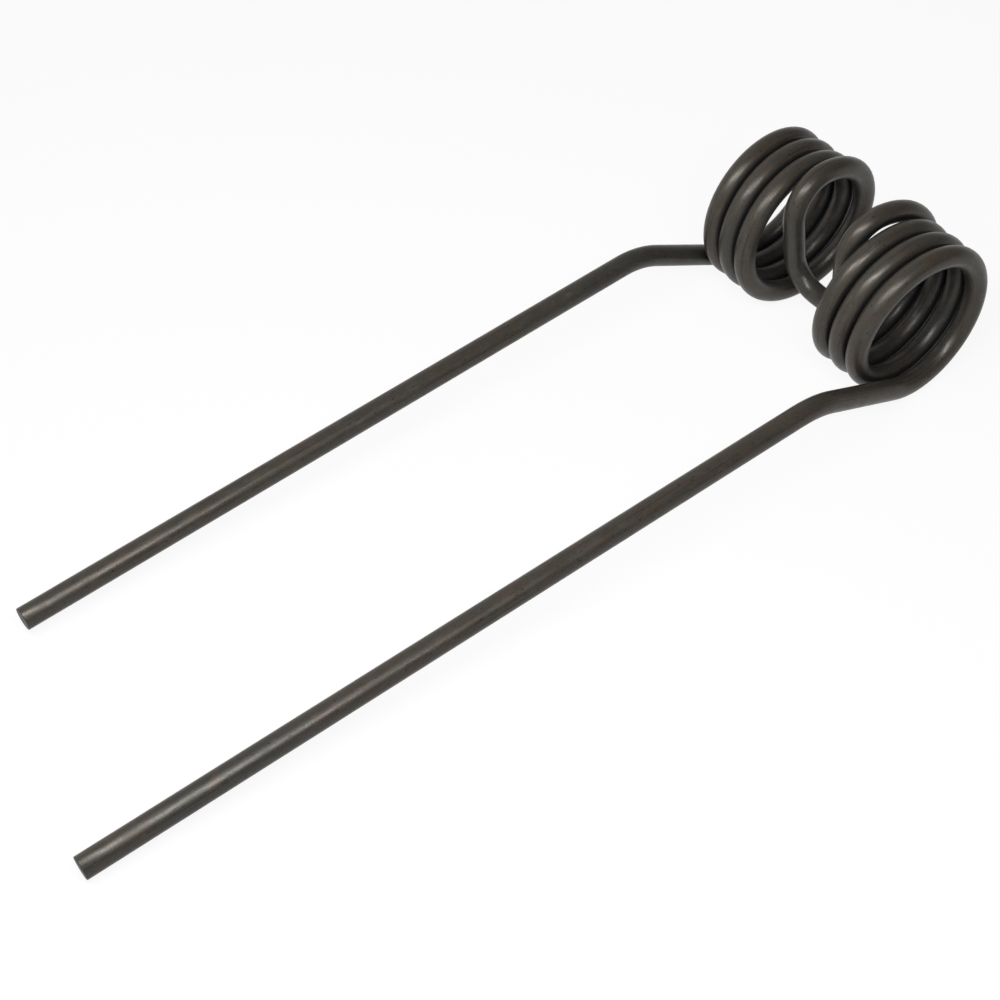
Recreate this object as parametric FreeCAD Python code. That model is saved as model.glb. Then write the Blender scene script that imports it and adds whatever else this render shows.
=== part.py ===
"""Double-coil spring tine for a hay tedder, bent from one length of round spring steel.

Axes: X runs along the coils' common axis, the arms point to -Y and +Z is up.
The origin is on the coils' axis, midway between the two coils.
The tine lies as it rests on a flat surface, on its coils and the tip of its longer arm.
"""

import FreeCAD, Part
import math
import os

# Wire
WIRE_DIAMETER = 9.5

# Coils
COIL_BORE = 54.0
TURN_GAP = 0.7
FULL_TURNS = 3
LAST_TURN_ANGLE = 178.0
LAST_TURN_OPENING = 1.6
LAST_TURN_HALF_SPACING = 17.4
LONGEST_COIL_ARC = 45.0

# Link between the coils
CROWN_REACH = 18.9
BRIDGE_SETBACK = 9.2
BRIDGE_DROP = 16.3
BRIDGE_HALF_SPAN = 14.6
BRIDGE_BEND_RADIUS = 14.0

# Arms
ROOT_LENGTH = 57.0
KINK_ANGLE = 28.6
KINK_RADIUS = 40.0
RIGHT_ARM_LENGTH = 340.0
LEFT_ARM_LENGTH = 307.0
RIGHT_ARM_TOE_IN = 0.0
LEFT_ARM_TOE_IN = 1.1

WIRE_RADIUS = WIRE_DIAMETER / 2
COIL_RADIUS = COIL_BORE / 2 + WIRE_RADIUS
PITCH = WIRE_DIAMETER + TURN_GAP


def vector(x, y, z):
    return FreeCAD.Vector(x, y, z)


def unit(v):
    return v * (1.0 / v.Length)


def turned(v, angle):
    """The direction v turned about the coils' axis."""
    c, s = math.cos(angle), math.sin(angle)
    return vector(v.x, v.y * c - v.z * s, v.y * s + v.z * c)


def root_angle():
    """Angle about the coil axis, from straight down, where the root meets the coil.

    It is the angle that sets the longer arm's tip level with the coils' lowest points.
    """
    kink = math.radians(KINK_ANGLE)
    arm = max(RIGHT_ARM_LENGTH, LEFT_ARM_LENGTH)
    a = COIL_RADIUS + arm * math.sin(kink) + WIRE_RADIUS * math.cos(kink)
    b = ROOT_LENGTH + arm * math.cos(kink) - WIRE_RADIUS * math.sin(kink)
    level = COIL_RADIUS + WIRE_RADIUS
    return math.atan2(b, a) - math.acos(level / math.hypot(a, b))


def straight(start, end):
    return Part.LineSegment(start, end).toShape()


def arc(start, corner, end):
    """Arc from start to end, tangent at both to the lines through the corner."""
    back = unit(start - corner)
    ahead = unit(end - corner)
    half_opening = back.getAngle(ahead) / 2
    cut = (start - corner).Length
    depth = cut / math.cos(half_opening) - cut * math.tan(half_opening)
    middle = corner + unit(back + ahead) * depth
    return Part.Arc(start, middle, end).toShape()


def bend(before, corner, after, radius):
    """Start, edge and end of the arc that rounds a corner."""
    back = unit(before - corner)
    ahead = unit(after - corner)
    cut = radius / math.tan(back.getAngle(ahead) / 2)
    start = corner + back * cut
    end = corner + ahead * cut
    return start, arc(start, corner, end), end


def steps(angle):
    """How many arcs a stretch of coil is made of, and the angle that each one turns."""
    count = math.ceil(angle / math.radians(LONGEST_COIL_ARC))
    return count, angle / count


def coil_slope(angle):
    """Advance along the axis for each mm round the coil, which gives the full turns their pitch."""
    step = steps(angle)[1]
    return PITCH * step / (4 * math.pi * COIL_RADIUS * math.tan(step / 2))


def coil(start, way, radius, angle):
    """Tangent arcs that wind about the axis; gives them with the point and direction at their end."""
    count, step = steps(angle)
    cut = radius * math.tan(step / 2) / math.hypot(way.y, way.z)
    edges = []
    for _ in range(count):
        corner = start + way * cut
        way = turned(way, -step)
        end = corner + way * cut
        edges.append(arc(start, corner, end))
        start = end
    return edges, start, way


def half_path(arm_length, toe_in):
    """Edges of the left half of the centre line, from the bridge's middle out to the arm's tip.

    Angles about the axis start at the bottom and go round by the back.
    """
    last_angle = math.radians(LAST_TURN_ANGLE)
    full_angle = 2 * math.pi * FULL_TURNS - root_angle()

    # the coil's inner end, at the top of its wider last turn
    last_radius = COIL_RADIUS + LAST_TURN_OPENING
    out_of_link = unit(vector(-coil_slope(full_angle), -math.cos(last_angle), -math.sin(last_angle)))
    coil_end = vector(
        -LAST_TURN_HALF_SPACING,
        last_radius * math.sin(last_angle),
        LAST_TURN_OPENING - last_radius * math.cos(last_angle))

    # link: across from the middle, up inside the coil, and over the crown
    centre = vector(0, -BRIDGE_SETBACK, -BRIDGE_DROP)
    foot = vector(-BRIDGE_HALF_SPAN, -BRIDGE_SETBACK, -BRIDGE_DROP)
    crown = coil_end - out_of_link * CROWN_REACH
    crown_half_opening = (coil_end - crown).getAngle(foot - crown) / 2
    crown_radius = CROWN_REACH * math.tan(crown_half_opening)
    foot_start, foot_arc, foot_end = bend(centre, foot, crown, BRIDGE_BEND_RADIUS)
    crown_start, crown_arc, _ = bend(foot, crown, coil_end, crown_radius)

    # coil: the wider turn first, which shares its lowest point with the full turns
    wide, lowest, way = coil(coil_end, out_of_link, last_radius, last_angle)
    full, coil_start, way = coil(lowest, way, COIL_RADIUS, full_angle)

    # root and arm
    knee = coil_start + way * ROOT_LENGTH
    slope = root_angle() + math.radians(KINK_ANGLE)
    arm_way = unit(vector(math.tan(math.radians(toe_in)), -math.cos(slope), -math.sin(slope)))
    tip = knee + arm_way * arm_length
    kink_start, kink, kink_end = bend(coil_start, knee, tip, KINK_RADIUS)

    edges = [straight(centre, foot_start), foot_arc, straight(foot_end, crown_start), crown_arc]
    edges += wide + full
    edges += [straight(coil_start, kink_start), kink, straight(kink_end, tip)]
    return edges, tip, arm_way


def mirrored(edges):
    return [edge.mirror(vector(0, 0, 0), vector(1, 0, 0)) for edge in edges]


def tine():
    """The whole tine: one round section swept along the centre line."""
    left, tip, way = half_path(LEFT_ARM_LENGTH, LEFT_ARM_TOE_IN)
    right = mirrored(half_path(RIGHT_ARM_LENGTH, RIGHT_ARM_TOE_IN)[0])
    path = Part.Wire(left[::-1] + right)
    section = Part.Wire([Part.makeCircle(WIRE_RADIUS, tip, way)])
    solid = path.makePipeShell([section], True, False)
    return solid, path


if __name__ == "__main__":
    os.makedirs("parts", exist_ok=True)
    shape, centre_line = tine()
    area = math.pi * WIRE_RADIUS ** 2
    print("valid", shape.isValid(), "solids", len(shape.Solids), "faces", len(shape.Faces))
    ratio = shape.Volume / (area * centre_line.Length)
    print("length %.1f mm" % centre_line.Length, "volume / (section x length) %.5f" % ratio)
    print("box", shape.BoundBox)
    shape.exportStep("parts/tine.step")
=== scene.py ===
"""Dressed model of a double-coil spring tine for a hay tedder, in its studio.

The tine is one length of round spring steel. The script bends it as the workshop does: it starts
from the round section at one tip, feeds it along the straight runs and turns it round each bend,
so that every point of the skin keeps the place it had on the straight wire.
"""

import logging
import math
from dataclasses import dataclass, field
from enum import Enum
from typing import Optional

import bmesh
import bpy
from mathutils import Matrix, Vector

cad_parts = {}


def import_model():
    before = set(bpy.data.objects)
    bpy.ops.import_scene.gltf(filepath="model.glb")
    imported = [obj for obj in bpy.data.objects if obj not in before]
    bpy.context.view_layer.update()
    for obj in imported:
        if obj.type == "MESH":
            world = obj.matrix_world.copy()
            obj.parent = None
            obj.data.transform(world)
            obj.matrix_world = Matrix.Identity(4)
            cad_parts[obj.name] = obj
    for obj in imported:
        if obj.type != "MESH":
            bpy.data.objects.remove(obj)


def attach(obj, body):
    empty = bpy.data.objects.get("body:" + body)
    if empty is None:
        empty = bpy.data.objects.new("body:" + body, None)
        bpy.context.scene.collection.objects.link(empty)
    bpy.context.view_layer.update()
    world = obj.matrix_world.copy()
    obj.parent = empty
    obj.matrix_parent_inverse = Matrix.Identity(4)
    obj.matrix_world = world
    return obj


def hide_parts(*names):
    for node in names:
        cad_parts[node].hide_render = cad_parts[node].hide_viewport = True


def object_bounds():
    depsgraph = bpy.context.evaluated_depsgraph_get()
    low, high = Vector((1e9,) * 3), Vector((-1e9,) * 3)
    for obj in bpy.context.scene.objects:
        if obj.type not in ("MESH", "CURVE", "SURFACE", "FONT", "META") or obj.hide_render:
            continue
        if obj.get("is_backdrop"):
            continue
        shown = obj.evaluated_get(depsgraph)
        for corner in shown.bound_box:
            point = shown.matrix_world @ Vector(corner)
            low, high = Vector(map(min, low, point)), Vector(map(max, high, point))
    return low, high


LOG = logging.getLogger("tine")
NODE = "tine"
BODY = "root"
UNBENT = "unbent"

# places of the colour sockets on a Mix node
MIX_SHARE, MIX_FIRST, MIX_SECOND = 0, 6, 7
MIX_RESULT = 2


class Side(Enum):
    """The two mirrored halves of the tine."""

    LEFT = "left"
    RIGHT = "right"


class Finish(Enum):
    """Places of the finishes in the tine's material list."""

    SKIN = 0
    CUT = 1


@dataclass(frozen=True)
class Stretch:
    """A straight run, or an arc that is tangent to the lines through its corner."""

    start: Vector
    end: Vector
    corner: Optional[Vector] = None

    def reversed(self) -> "Stretch":
        """The same stretch, followed the other way."""
        return Stretch(self.end, self.start, self.corner)

    def mirrored(self) -> "Stretch":
        """The same stretch on the other half of the tine."""
        flip = Matrix.Diagonal((-1.0, 1.0, 1.0))
        corner = None if self.corner is None else flip @ self.corner
        return Stretch(flip @ self.start, flip @ self.end, corner)

    def way(self) -> Vector:
        """Direction at the start."""
        towards = self.end if self.corner is None else self.corner
        return (towards - self.start).normalized()


@dataclass
class Wire:
    """The round stock."""

    diameter: float = 0.0095
    skin_inset: float = 0.000015
    facets: int = 48
    feed_step: float = 0.010
    turn_step: float = math.radians(5.0)
    broken_edge: float = 0.00035
    broken_edge_steps: int = 3
    dish_widths: tuple = (0.0011, 0.0013)
    dish_depths: tuple = (0.00006, 0.00010)
    crease: float = math.radians(40.0)

    @property
    def radius(self) -> float:
        """Radius of the wire."""
        return self.diameter / 2


@dataclass
class Coils:
    """The two close-wound coils, each with a slightly wider last turn."""

    wire: Wire
    bore: float = 0.054
    turn_gap: float = 0.0007
    full_turns: int = 3
    last_turn: float = math.radians(178.0)
    last_turn_opening: float = 0.0016
    last_turn_half_spacing: float = 0.0174
    longest_arc: float = math.radians(45.0)

    @property
    def radius(self) -> float:
        """Radius of the centre line in the full turns."""
        return self.bore / 2 + self.wire.radius

    @property
    def pitch(self) -> float:
        """Advance of the centre line in a full turn."""
        return self.wire.diameter + self.turn_gap

    def step(self, angle: float) -> tuple[int, float]:
        """Splits a stretch of coil into equal arcs.

        Args:
            angle: the whole angle of the stretch.

        Returns:
            The number of arcs and the angle of each.
        """
        count = math.ceil(angle / self.longest_arc)
        return count, angle / count

    def slope(self, angle: float) -> float:
        """Advance along the axis for each metre round the coil, for full turns through this angle."""
        step = self.step(angle)[1]
        return self.pitch * step / (4 * math.pi * self.radius * math.tan(step / 2))

    def wind(self, start: Vector, way: Vector, radius: float,
             angle: float) -> tuple[list[Stretch], Vector, Vector]:
        """Winds tangent arcs about the axis, towards the arm.

        Args:
            start: where the winding starts.
            way: direction there.
            radius: radius of the centre line about the axis.
            angle: the whole angle to wind.

        Returns:
            The arcs, and the point and direction at their end.
        """
        count, step = self.step(angle)
        cut = radius * math.tan(step / 2) / math.hypot(way.y, way.z)
        turn = Matrix.Rotation(-step, 3, "X")
        arcs = []
        for _ in range(count):
            corner = start + way * cut
            way = turn @ way
            end = corner + way * cut
            arcs.append(Stretch(start, end, corner))
            start = end
        return arcs, start, way


@dataclass
class Link:
    """The U-shaped link that joins the coils."""

    crown_reach: float = 0.0189
    bridge_setback: float = 0.0092
    bridge_drop: float = 0.0163
    bridge_half_span: float = 0.0146
    bridge_bend_radius: float = 0.0140


@dataclass
class Arms:
    """The straight arms, each with a bend near its coil."""

    root_length: float = 0.057
    kink: float = math.radians(28.6)
    kink_radius: float = 0.040
    lengths: dict[Side, float] = field(default_factory=lambda: {Side.RIGHT: 0.340, Side.LEFT: 0.307})
    toe_in: dict[Side, float] = field(
        default_factory=lambda: {Side.RIGHT: 0.0, Side.LEFT: math.radians(1.1)})


class Route:
    """The centre line of the wire, from the left arm's tip to the right one's."""

    def __init__(self, wire: Wire, coils: Coils, link: Link, arms: Arms) -> None:
        """Keeps the sizes that the route is worked out from."""
        self.wire = wire
        self.coils = coils
        self.link = link
        self.arms = arms

    def root_angle(self) -> float:
        """Angle about the axis, from straight down, that sets the longer tip level with the coils."""
        kink, root = self.arms.kink, self.arms.root_length
        arm = max(self.arms.lengths.values())
        down = self.coils.radius + arm * math.sin(kink) + self.wire.radius * math.cos(kink)
        out = root + arm * math.cos(kink) - self.wire.radius * math.sin(kink)
        level = self.coils.radius + self.wire.radius
        return math.atan2(out, down) - math.acos(level / math.hypot(down, out))

    @staticmethod
    def bend(before: Vector, corner: Vector, after: Vector, radius: float) -> Stretch:
        """The arc that rounds a corner.

        Args:
            before: a point on the line that comes in.
            corner: where the two lines meet.
            after: a point on the line that goes out.
            radius: radius of the bend.

        Returns:
            The arc, tangent to both lines.
        """
        back = (before - corner).normalized()
        ahead = (after - corner).normalized()
        cut = radius / math.tan(back.angle(ahead) / 2)
        return Stretch(corner + back * cut, corner + ahead * cut, corner)

    def half(self, side: Side) -> list[Stretch]:
        """Works out one half, drawn on the left, from the bridge's middle to the arm's tip.

        Args:
            side: which arm's length and toe-in it has.

        Returns:
            Its runs and arcs in order.
        """
        coils, link, arms = self.coils, self.link, self.arms
        full_angle = 2 * math.pi * coils.full_turns - self.root_angle()
        last_radius = coils.radius + coils.last_turn_opening
        sine, cosine = math.sin(coils.last_turn), math.cos(coils.last_turn)
        way = Vector((-coils.slope(full_angle), -cosine, -sine)).normalized()
        coil_end = Vector((
            -coils.last_turn_half_spacing,
            last_radius * sine,
            coils.last_turn_opening - last_radius * cosine))

        middle = Vector((0.0, -link.bridge_setback, -link.bridge_drop))
        foot = middle + Vector((-link.bridge_half_span, 0.0, 0.0))
        crown = coil_end - way * link.crown_reach
        crown_radius = link.crown_reach * math.tan((coil_end - crown).angle(foot - crown) / 2)
        foot_bend = self.bend(middle, foot, crown, link.bridge_bend_radius)
        crown_bend = self.bend(foot, crown, coil_end, crown_radius)

        wide, lowest, way = coils.wind(coil_end, way, last_radius, coils.last_turn)
        full, coil_start, way = coils.wind(lowest, way, coils.radius, full_angle)

        knee = coil_start + way * arms.root_length
        slope = self.root_angle() + arms.kink
        arm_way = Vector((math.tan(arms.toe_in[side]), -math.cos(slope), -math.sin(slope))).normalized()
        tip = knee + arm_way * arms.lengths[side]
        kink = self.bend(coil_start, knee, tip, arms.kink_radius)

        route = [Stretch(middle, foot_bend.start), foot_bend]
        route += [Stretch(foot_bend.end, crown_bend.start), crown_bend]
        route += wide + full
        route += [Stretch(coil_start, kink.start), kink, Stretch(kink.end, tip)]
        return route

    def whole(self) -> list[Stretch]:
        """The whole centre line."""
        left = [stretch.reversed() for stretch in reversed(self.half(Side.LEFT))]
        right = [stretch.mirrored() for stretch in self.half(Side.RIGHT)]
        return left + right


class Former:
    """Bends a round bar along a route, keeping each point's place on the straight bar."""

    def __init__(self, wire: Wire, first: Stretch) -> None:
        """Starts from the round section at the route's first point.

        Args:
            wire: sizes of the bar.
            first: the route's first stretch.
        """
        self.wire = wire
        self.mesh = bmesh.new()
        self.unbent = self.mesh.verts.layers.float_vector.new(UNBENT)
        facing = first.way().to_track_quat("Z", "Y").to_matrix().to_4x4()
        bmesh.ops.create_circle(
            self.mesh, cap_ends=False, radius=wire.radius - wire.skin_inset, segments=wire.facets,
            matrix=Matrix.Translation(first.start) @ facing)
        inverse = facing.inverted()
        for vert in self.mesh.verts:
            across = inverse @ (vert.co - first.start)
            vert[self.unbent] = Vector((0.0, across.x, across.y))
        self.front = list(self.mesh.edges)
        self.back = list(self.mesh.edges)
        self.fed = 0.0

    def sweep(self, length: float, longest: float, angle: float = 0.0, centre: Vector = Vector(),
              axis: Vector = Vector((0.0, 0.0, 1.0)), way: Vector = Vector()) -> None:
        """Moves the front ring on in equal steps and skins the bar behind it.

        Args:
            length: length of bar that the whole move feeds.
            longest: longest step between rings.
            angle: whole angle of a turn.
            centre: centre of a turn.
            axis: axis of a turn.
            way: direction of a straight feed.
        """
        steps = math.ceil(length / longest)
        before = len(self.mesh.verts)
        made = bmesh.ops.spin(
            self.mesh, geom=self.front, cent=centre, axis=axis, dvec=way * length / steps, angle=angle,
            steps=steps, use_duplicate=False)["geom_last"]
        self.front = [item for item in made if isinstance(item, bmesh.types.BMEdge)]
        self.mesh.verts.ensure_lookup_table()
        for place, vert in enumerate(self.mesh.verts[before:]):
            ring = place // self.wire.facets + 1
            vert[self.unbent].x = self.fed + length * ring / steps
        self.fed += length

    def turn(self, stretch: Stretch) -> None:
        """Turns the bar round an arc."""
        back = (stretch.start - stretch.corner).normalized()
        ahead = (stretch.end - stretch.corner).normalized()
        half_opening = back.angle(ahead) / 2
        cut = (stretch.start - stretch.corner).length
        radius = cut * math.tan(half_opening)
        angle = math.pi - 2 * half_opening
        self.sweep(
            radius * angle, self.wire.turn_step * (radius + self.wire.radius), angle,
            stretch.corner + (back + ahead).normalized() * (cut / math.cos(half_opening)),
            ahead.cross(back).normalized())

    def follow(self, route: list[Stretch]) -> None:
        """Feeds and turns the bar along the whole route."""
        for stretch in route:
            if stretch.corner is None:
                run = stretch.end - stretch.start
                self.sweep(run.length, self.wire.feed_step, way=run.normalized())
            else:
                self.turn(stretch)

    def crop(self, ring: list) -> None:
        """Closes an end with a sheared face whose edge is lightly broken.

        Args:
            ring: edges of the end's ring.
        """
        face = bmesh.ops.edgeloop_fill(self.mesh, edges=ring, mat_nr=Finish.CUT.value)["faces"][0]
        bmesh.ops.bevel(
            self.mesh, geom=list(face.edges), offset=self.wire.broken_edge,
            segments=self.wire.broken_edge_steps, profile=0.5, affect="EDGES", material=-1)

    def finish_ends(self) -> None:
        """Crops both ends, turns all faces outwards and dishes the sheared ones."""
        first, last = self.back, self.front
        self.crop(first)
        self.crop(last)
        bmesh.ops.recalc_face_normals(self.mesh, faces=self.mesh.faces)
        flats = [face for face in self.mesh.faces if len(face.verts) == self.wire.facets]
        for width, depth in zip(self.wire.dish_widths, self.wire.dish_depths):
            for face in flats:
                bmesh.ops.inset_region(self.mesh, faces=[face], thickness=width, depth=-depth)
        hubs = bmesh.ops.poke(self.mesh, faces=flats)["verts"]
        LOG.info("cropped %d ends", len(hubs))


@dataclass(frozen=True)
class Marks:
    """A noise pattern on the straight bar, with its waves per metre along and across it."""

    along: float
    across: float
    detail: float
    roughness: float = 0.5
    shift: float = 0.0


@dataclass(frozen=True)
class Layer:
    """A colour that comes in where its pattern rises from low to high, up to a share of the whole."""

    colour: tuple
    marks: Marks
    low: float
    high: float
    share: float


@dataclass(frozen=True)
class PaintedShade:
    """Painted shade: a dark colour on the skin where nearby turns hem it in, full where closed, none where
    open.
    """

    colour: tuple
    reach: float
    closed: float
    open: float
    share: float
    samples: int = 8


class Graph:
    """A material's node tree, with short ways to add and join nodes."""

    def __init__(self, name: str) -> None:
        """Makes an empty material with its main shader and no patterns yet."""
        self.material = bpy.data.materials.new(name)
        self.material.use_nodes = True
        self.tree = self.material.node_tree
        self.shader = self.tree.nodes["Principled BSDF"]
        self.patterns: dict[Marks, bpy.types.NodeSocket] = {}

    def add(self, kind: str, settings: Optional[dict] = None, **inputs: object) -> bpy.types.Node:
        """Adds a node.

        Args:
            kind: the node's type.
            settings: properties of the node itself.
            inputs: values or sockets for its inputs, with _ for a space in their names.

        Returns:
            The node.
        """
        node = self.tree.nodes.new(kind)
        for name, value in (settings or {}).items():
            setattr(node, name, value)
        for name, value in inputs.items():
            self.put(node.inputs[name.replace("_", " ")], value)
        return node

    def put(self, socket: bpy.types.NodeSocket, value: object) -> None:
        """Joins a socket to another one, or sets its value."""
        if isinstance(value, bpy.types.NodeSocket):
            self.tree.links.new(value, socket)
        else:
            socket.default_value = value

    def noise(self, vector: bpy.types.NodeSocket, detail: float,
              roughness: float) -> bpy.types.NodeSocket:
        """Soft noise, one wave to a unit."""
        node = self.add("ShaderNodeTexNoise", Vector=vector, Scale=1.0, Detail=detail, Roughness=roughness)
        return node.outputs["Fac"]

    def pattern(self, marks: Marks) -> bpy.types.NodeSocket:
        """A noise pattern that stays with the skin round every bend; each one is made once.

        Args:
            marks: the pattern's waves.

        Returns:
            Its level.
        """
        if marks not in self.patterns:
            place = self.add("ShaderNodeAttribute", {"attribute_name": UNBENT})
            scaled = self.add(
                "ShaderNodeMapping", Vector=place.outputs["Vector"],
                Scale=(marks.along, marks.across, marks.across),
                Location=(marks.shift, marks.shift, marks.shift))
            self.patterns[marks] = self.noise(scaled.outputs["Vector"], marks.detail, marks.roughness)
        return self.patterns[marks]

    def shade_share(self, occlusion_shade: PaintedShade) -> bpy.types.NodeSocket:
        """How much painted shade lies on the skin, from ambient occlusion by other parts of the bar close
        by.
        """
        settings = {"samples": occlusion_shade.samples, "only_local": True}
        # painted shade: the bar's ambient occlusion on itself sets where a dark colour is laid
        node = self.add("ShaderNodeAmbientOcclusion", settings, Distance=occlusion_shade.reach)
        return self.remap(node.outputs["AO"], occlusion_shade.closed, occlusion_shade.open, occlusion_shade.share, 0.0)

    def remap(self, value: bpy.types.NodeSocket, low: float, high: float, new_low: float,
              new_high: float) -> bpy.types.NodeSocket:
        """Stretches a range of values smoothly to another range."""
        node = self.add("ShaderNodeMapRange", {"interpolation_type": "SMOOTHSTEP"}, Value=value)
        limits = {"From Min": low, "From Max": high, "To Min": new_low, "To Max": new_high}
        for name, number in limits.items():
            node.inputs[name].default_value = number
        return node.outputs["Result"]

    def tint(self, share: object, first: object, second: object) -> bpy.types.NodeSocket:
        """Mixes two colours.

        Args:
            share: how much of the second there is.
            first: colour or socket.
            second: colour or socket.

        Returns:
            The mixed colour.
        """
        node = self.add("ShaderNodeMix", {"data_type": "RGBA"})
        self.put(node.inputs[MIX_SHARE], share)
        self.put(node.inputs[MIX_FIRST], first)
        self.put(node.inputs[MIX_SECOND], second)
        return node.outputs[MIX_RESULT]

    def lay(self, colour: object, layer: Layer) -> bpy.types.NodeSocket:
        """Brings a layer's colour in over another colour, where its pattern is high."""
        share = self.remap(self.pattern(layer.marks), layer.low, layer.high, 0.0, layer.share)
        return self.tint(share, colour, layer.colour)

    def weigh(self, first: bpy.types.NodeSocket, weight: float,
              second: bpy.types.NodeSocket) -> bpy.types.NodeSocket:
        """First times weight, plus second."""
        node = self.add("ShaderNodeMath", {"operation": "MULTIPLY_ADD"})
        self.put(node.inputs[0], first)
        self.put(node.inputs[1], weight)
        self.put(node.inputs[2], second)
        return node.outputs[0]


@dataclass(frozen=True)
class TemperedSkin:
    """Dark oil-tempered skin of spring wire, with drawing marks, dust, specks, and painted shade in
    grooves and coils.
    """

    die_marks: Marks = Marks(along=16.0, across=1500.0, detail=3.0, roughness=0.6)
    broad_marks: Marks = Marks(along=6.0, across=420.0, detail=2.0)
    patches: Marks = Marks(along=110.0, across=200.0, detail=6.0, roughness=0.62)
    grain: Marks = Marks(along=1400.0, across=1800.0, detail=3.0, roughness=0.6)

    brown: tuple = (0.046, 0.038, 0.030, 1.0)
    blue: Layer = Layer(
        colour=(0.033, 0.034, 0.035, 1.0), low=0.50, high=0.72, share=0.7,
        marks=Marks(along=5.0, across=20.0, detail=2.0))
    # painted shade: blue-black darkening inside the coils, laid by occlusion over 60 mm
    painted_coil_shade: PaintedShade = PaintedShade(
        colour=(0.019, 0.021, 0.025, 1.0), reach=0.060, closed=0.30, open=0.75, share=0.8)
    olive: Layer = Layer(
        colour=(0.040, 0.039, 0.032, 1.0), low=0.42, high=0.62, share=0.8,
        marks=Marks(along=120.0, across=190.0, detail=3.0, roughness=0.6))
    russet: Layer = Layer(
        colour=(0.053, 0.038, 0.031, 1.0), low=0.52, high=0.70, share=0.7,
        marks=Marks(along=85.0, across=140.0, detail=3.0, roughness=0.6, shift=3.7))
    dust: Layer = Layer(
        colour=(0.072, 0.062, 0.051, 1.0), low=0.50, high=0.75, share=0.6,
        marks=Marks(along=160.0, across=420.0, detail=6.0, roughness=0.7))
    streaks: Layer = Layer(
        colour=(0.012, 0.011, 0.010, 1.0), low=0.52, high=0.72, share=0.6, marks=die_marks)
    specks: Layer = Layer(
        colour=(0.012, 0.011, 0.010, 1.0), low=0.62, high=0.72, share=0.7,
        marks=Marks(along=700.0, across=1100.0, detail=2.0))
    # painted shade: near-black in the grooves between turns, laid by occlusion over 8 mm
    painted_groove_shade: PaintedShade = PaintedShade(
        colour=(0.012, 0.012, 0.012, 1.0), reach=0.008, closed=0.30, open=0.80, share=0.9)

    metallic: float = 0.36
    oil_film: float = 0.28
    groove_shade_film: float = 0.084
    smooth: float = 0.31
    rough: float = 0.43
    die_weight: float = 0.6
    broad_weight: float = 0.5
    patch_weight: float = 0.5
    patch_range: tuple = (0.3, 0.7)
    wear_range: tuple = (0.2, 0.85)
    mark_depth: float = 0.00004
    mark_strength: float = 0.8
    grain_depth: float = 0.00003
    grain_strength: float = 0.6

    def colour(self, graph: Graph, groove_shade: bpy.types.NodeSocket) -> bpy.types.NodeSocket:
        """Tempering colours that drift along the wire, under dust, streaks, specks and painted shade in
        the grooves.

        Inside the coils, where the turns hem the skin in, painted blue-black shade darkens it.

        Args:
            graph: the material's nodes.
            groove_shade: how much painted shade darkens the skin in the grooves between turns.

        Returns:
            The skin's colour.
        """
        tempered = graph.lay(self.brown, self.blue)
        # painted shade inside the coils
        colour = graph.tint(graph.shade_share(self.painted_coil_shade), tempered, self.painted_coil_shade.colour)
        for layer in (self.olive, self.russet, self.dust, self.streaks, self.specks):
            colour = graph.lay(colour, layer)
        # painted shade in the grooves between turns
        return graph.tint(groove_shade, colour, self.painted_groove_shade.colour)

    def roughness(self, graph: Graph) -> bpy.types.NodeSocket:
        """Roughness that changes with the broad marks and the patches of scale."""
        scaled = graph.remap(graph.pattern(self.patches), *self.patch_range, 0.0, self.patch_weight)
        worn = graph.weigh(graph.pattern(self.broad_marks), self.broad_weight, scaled)
        return graph.remap(worn, *self.wear_range, self.smooth, self.rough)

    def relief(self, graph: Graph) -> bpy.types.NodeSocket:
        """Normal of the drawn and pitted skin."""
        broad = graph.weigh(
            graph.pattern(self.broad_marks), self.broad_weight, graph.pattern(self.patches))
        height = graph.weigh(graph.pattern(self.die_marks), self.die_weight, broad)
        drawn = graph.add(
            "ShaderNodeBump", Height=height, Strength=self.mark_strength, Distance=self.mark_depth)
        pitted = graph.add(
            "ShaderNodeBump", Height=graph.pattern(self.grain), Strength=self.grain_strength,
            Distance=self.grain_depth, Normal=drawn.outputs["Normal"])
        return pitted.outputs["Normal"]

    def material(self) -> bpy.types.Material:
        """Builds the finish."""
        graph = Graph("tempered_skin")
        shader = graph.shader
        # painted shade in the grooves: occlusion darkens the colour and lowers the gloss there
        groove_shade = graph.shade_share(self.painted_groove_shade)
        film = graph.remap(groove_shade, 0.0, 1.0, self.oil_film, self.groove_shade_film)
        graph.put(shader.inputs["Base Color"], self.colour(graph, groove_shade))
        graph.put(shader.inputs["Roughness"], self.roughness(graph))
        graph.put(shader.inputs["Specular IOR Level"], film)
        graph.put(shader.inputs["Normal"], self.relief(graph))
        shader.inputs["Metallic"].default_value = self.metallic
        return graph.material


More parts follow.
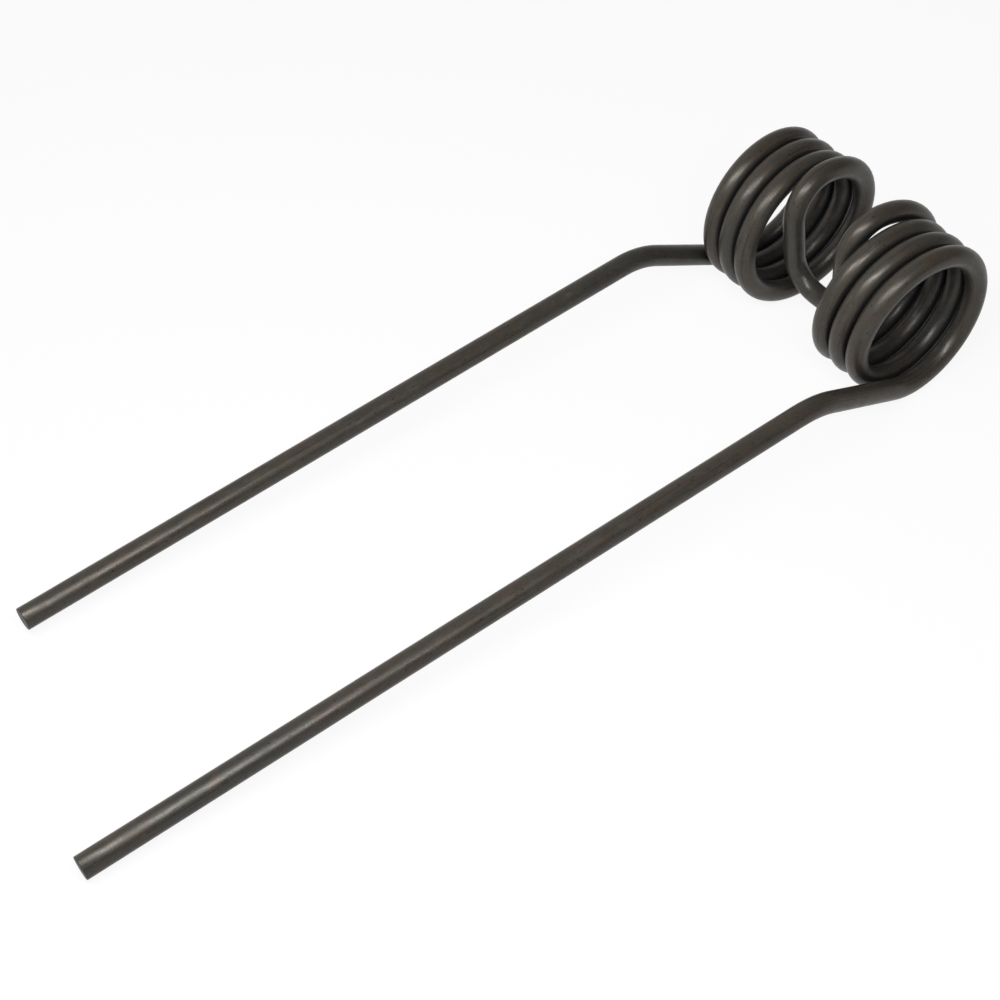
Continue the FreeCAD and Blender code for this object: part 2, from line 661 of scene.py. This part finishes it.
@dataclass(frozen=True)
class ShearedFace:
    """Dull face of a cropped end, torn where the bar parted and darkened since."""

    steel: tuple = (0.060, 0.054, 0.047, 1.0)
    burnt: tuple = (0.018, 0.016, 0.014, 1.0)
    roughness: float = 0.55
    metallic: float = 0.4
    tear_waves: tuple = (900.0, 900.0, 300.0)
    tear_detail: float = 5.0
    tear_roughness: float = 0.6
    tear_range: tuple = (0.35, 0.65)
    tear_depth: float = 0.00012
    tear_strength: float = 0.8

    def material(self) -> bpy.types.Material:
        """Builds the finish."""
        graph = Graph("sheared_face")
        shader = graph.shader
        place = graph.add("ShaderNodeTexCoord").outputs["Object"]
        drawn = graph.add("ShaderNodeMapping", Vector=place, Scale=self.tear_waves).outputs["Vector"]
        tears = graph.noise(drawn, self.tear_detail, self.tear_roughness)
        bright = graph.remap(tears, *self.tear_range, 0.0, 1.0)
        graph.put(shader.inputs["Base Color"], graph.tint(bright, self.burnt, self.steel))
        shader.inputs["Roughness"].default_value = self.roughness
        shader.inputs["Metallic"].default_value = self.metallic
        bump = graph.add(
            "ShaderNodeBump", Height=tears, Strength=self.tear_strength, Distance=self.tear_depth)
        graph.put(shader.inputs["Normal"], bump.outputs["Normal"])
        return graph.material


class Tine:
    """The whole tine, bent from one bar."""

    def __init__(self) -> None:
        """Gathers the sizes of its wire, coils, link and arms."""
        self.wire = Wire()
        self.coils = Coils(self.wire)
        self.link = Link()
        self.arms = Arms()
        self.skin = TemperedSkin()
        self.cut = ShearedFace()

    def build(self) -> bpy.types.Object:
        """Bends the bar, crops its ends and dresses it.

        Returns:
            The finished piece, riding on the frame in place of the plain solid.
        """
        route = Route(self.wire, self.coils, self.link, self.arms).whole()
        former = Former(self.wire, route[0])
        former.follow(route)
        former.finish_ends()
        LOG.info("fed %.1f mm of wire", former.fed * 1000)

        data = bpy.data.meshes.new("bent_wire")
        former.mesh.to_mesh(data)
        former.mesh.free()
        data.shade_smooth()
        data.set_sharp_from_angle(angle=self.wire.crease)
        data.materials.append(self.skin.material())
        data.materials.append(self.cut.material())
        piece = bpy.data.objects.new("bent_wire", data)
        bpy.context.scene.collection.objects.link(piece)
        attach(piece, BODY)
        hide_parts(NODE)
        return piece


@dataclass(frozen=True)
class Viewpoint:
    """Where the picture is taken from. Azimuth 0 looks along +Y, 90 along -X."""

    aim: tuple = (0.0146, -0.1936, -0.0177)
    distance: float = 0.7332
    azimuth: float = math.radians(52.64)
    elevation: float = math.radians(48.22)
    roll: float = math.radians(1.17)
    lens: float = 66.70
    sensor: float = 36.0

    def build(self) -> None:
        """Makes the scene's camera."""
        level = math.cos(self.elevation)
        forward = Vector((
            -math.sin(self.azimuth) * level, math.cos(self.azimuth) * level, -math.sin(self.elevation)))
        data = bpy.data.cameras.new("camera")
        data.lens = self.lens
        data.sensor_width = self.sensor
        camera = bpy.data.objects.new("camera", data)
        turn = forward.to_track_quat("-Z", "Y").to_matrix().to_4x4() @ Matrix.Rotation(self.roll, 4, "Z")
        camera.matrix_world = Matrix.Translation(Vector(self.aim) - forward * self.distance) @ turn
        bpy.context.scene.collection.objects.link(camera)
        bpy.context.scene.camera = camera


@dataclass(frozen=True)
class Softbox:
    """A rectangular soft light."""

    name: str
    place: tuple
    aim: tuple
    width: float
    height: float
    watts: float
    colour: tuple = (1.0, 1.0, 1.0)

    def build(self) -> None:
        """Hangs the light."""
        data = bpy.data.lights.new(self.name, "AREA")
        data.shape = "RECTANGLE"
        data.size = self.width
        data.size_y = self.height
        data.energy = self.watts
        data.color = self.colour
        lamp = bpy.data.objects.new(self.name, data)
        facing = (Vector(self.aim) - Vector(self.place)).to_track_quat("-Z", "Y").to_matrix().to_4x4()
        lamp.matrix_world = Matrix.Translation(self.place) @ facing
        bpy.context.scene.collection.objects.link(lamp)


@dataclass
class Studio:
    """Pale floor, soft light and a white surround that is stronger on one side."""

    floor_half_width: float = 15.0
    backdrop_height: float = 0.8
    floor_colour: tuple = (0.62, 0.62, 0.61, 1.0)
    floor_glow: float = 1.0
    floor_glow_share: float = 0.9
    floor_roughness: float = 0.9
    floor_gloss: float = 0.1
    white: tuple = (1.0, 1.0, 1.0, 1.0)
    bright_side: tuple = (-0.55, -0.43, -0.72)
    surround_middle: float = 0.65
    surround_swing: float = 0.60
    lights: tuple = (
        Softbox(
            "key", place=(0.155, -0.371, 0.488), aim=(0.03, -0.15, 0.0), width=0.71, height=0.06,
            watts=5.6),)

    @staticmethod
    def seen_directly(tree: bpy.types.NodeTree) -> bpy.types.NodeSocket:
        """1 on rays from the camera, from gloss and through glass, and 0 on the rest."""
        path = tree.nodes.new("ShaderNodeLightPath")
        total = path.outputs["Is Camera Ray"]
        for name in ("Is Glossy Ray", "Is Transmission Ray"):
            join = tree.nodes.new("ShaderNodeMath")
            join.operation = "MAXIMUM"
            tree.links.new(total, join.inputs[0])
            tree.links.new(path.outputs[name], join.inputs[1])
            total = join.outputs[0]
        return total

    def build_floor(self, level: float) -> None:
        """Lays the floor and stands a low backdrop round its far edge.

        Args:
            level: height of its surface.
        """
        mesh = bmesh.new()
        bmesh.ops.create_grid(
            mesh, x_segments=1, y_segments=1, size=self.floor_half_width,
            matrix=Matrix.Translation((0.0, 0.0, level)))
        grown = bmesh.ops.extrude_edge_only(mesh, edges=list(mesh.edges))["geom"]
        raised = [item for item in grown if isinstance(item, bmesh.types.BMVert)]
        bmesh.ops.translate(mesh, verts=raised, vec=(0.0, 0.0, self.backdrop_height))
        data = bpy.data.meshes.new("floor")
        mesh.to_mesh(data)
        mesh.free()
        data.materials.append(self.floor_material())
        floor = bpy.data.objects.new("floor", data)
        bpy.context.scene.collection.objects.link(floor)
        floor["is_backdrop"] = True

    def floor_material(self) -> bpy.types.Material:
        """Pale paint that also glows white, on the rays that see the background."""
        graph = Graph("pale_floor")
        graph.shader.inputs["Base Color"].default_value = self.floor_colour
        graph.shader.inputs["Roughness"].default_value = self.floor_roughness
        graph.shader.inputs["Specular IOR Level"].default_value = self.floor_gloss
        glow = graph.add("ShaderNodeEmission", Color=self.white, Strength=self.floor_glow)
        share = graph.add("ShaderNodeMath", {"operation": "MULTIPLY"})
        graph.put(share.inputs[0], self.seen_directly(graph.tree))
        share.inputs[1].default_value = self.floor_glow_share
        mix = graph.add("ShaderNodeMixShader", Fac=share.outputs[0])
        graph.put(mix.inputs[1], graph.shader.outputs["BSDF"])
        graph.put(mix.inputs[2], glow.outputs["Emission"])
        graph.put(graph.tree.nodes["Material Output"].inputs["Surface"], mix.outputs["Shader"])
        return graph.material

    def build_world(self) -> None:
        """Fills the surround with soft light that is stronger on one side."""
        world = bpy.data.worlds.new("surround")
        world.use_nodes = True
        bpy.context.scene.world = world
        tree = world.node_tree
        towards = tree.nodes.new("ShaderNodeTexCoord")
        facing = tree.nodes.new("ShaderNodeVectorMath")
        facing.operation = "DOT_PRODUCT"
        facing.inputs[1].default_value = self.bright_side
        tree.links.new(towards.outputs["Generated"], facing.inputs[0])
        level = tree.nodes.new("ShaderNodeMath")
        level.operation = "MULTIPLY_ADD"
        level.inputs[1].default_value = self.surround_swing
        level.inputs[2].default_value = self.surround_middle
        tree.links.new(facing.outputs["Value"], level.inputs[0])
        background = tree.nodes["Background"]
        background.inputs["Color"].default_value = self.white
        tree.links.new(level.outputs[0], background.inputs["Strength"])

    def build(self, level: float) -> None:
        """Sets up the floor at the given level, the lights and the surround."""
        self.build_floor(level)
        self.build_world()
        for light in self.lights:
            light.build()
        bpy.context.scene.view_settings.view_transform = "Standard"


def corners(box: tuple) -> list[list[float]]:
    """A box's two corners as plain lists."""
    return [[float(value) for value in corner] for corner in box]


def main() -> None:
    """Loads the frame, builds the tine and its studio, and sets the floor at the plain solid's lowest
    point.
    """
    logging.basicConfig(level=logging.INFO, format="%(name)s: %(message)s")
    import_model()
    plain = corners(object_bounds())
    piece = Tine().build()
    LOG.info("%s has %d faces", piece.name, len(piece.data.polygons))
    Studio().build(plain[0][2])
    Viewpoint().build()
    bpy.context.view_layer.update()


if __name__ == "__main__":
    main()
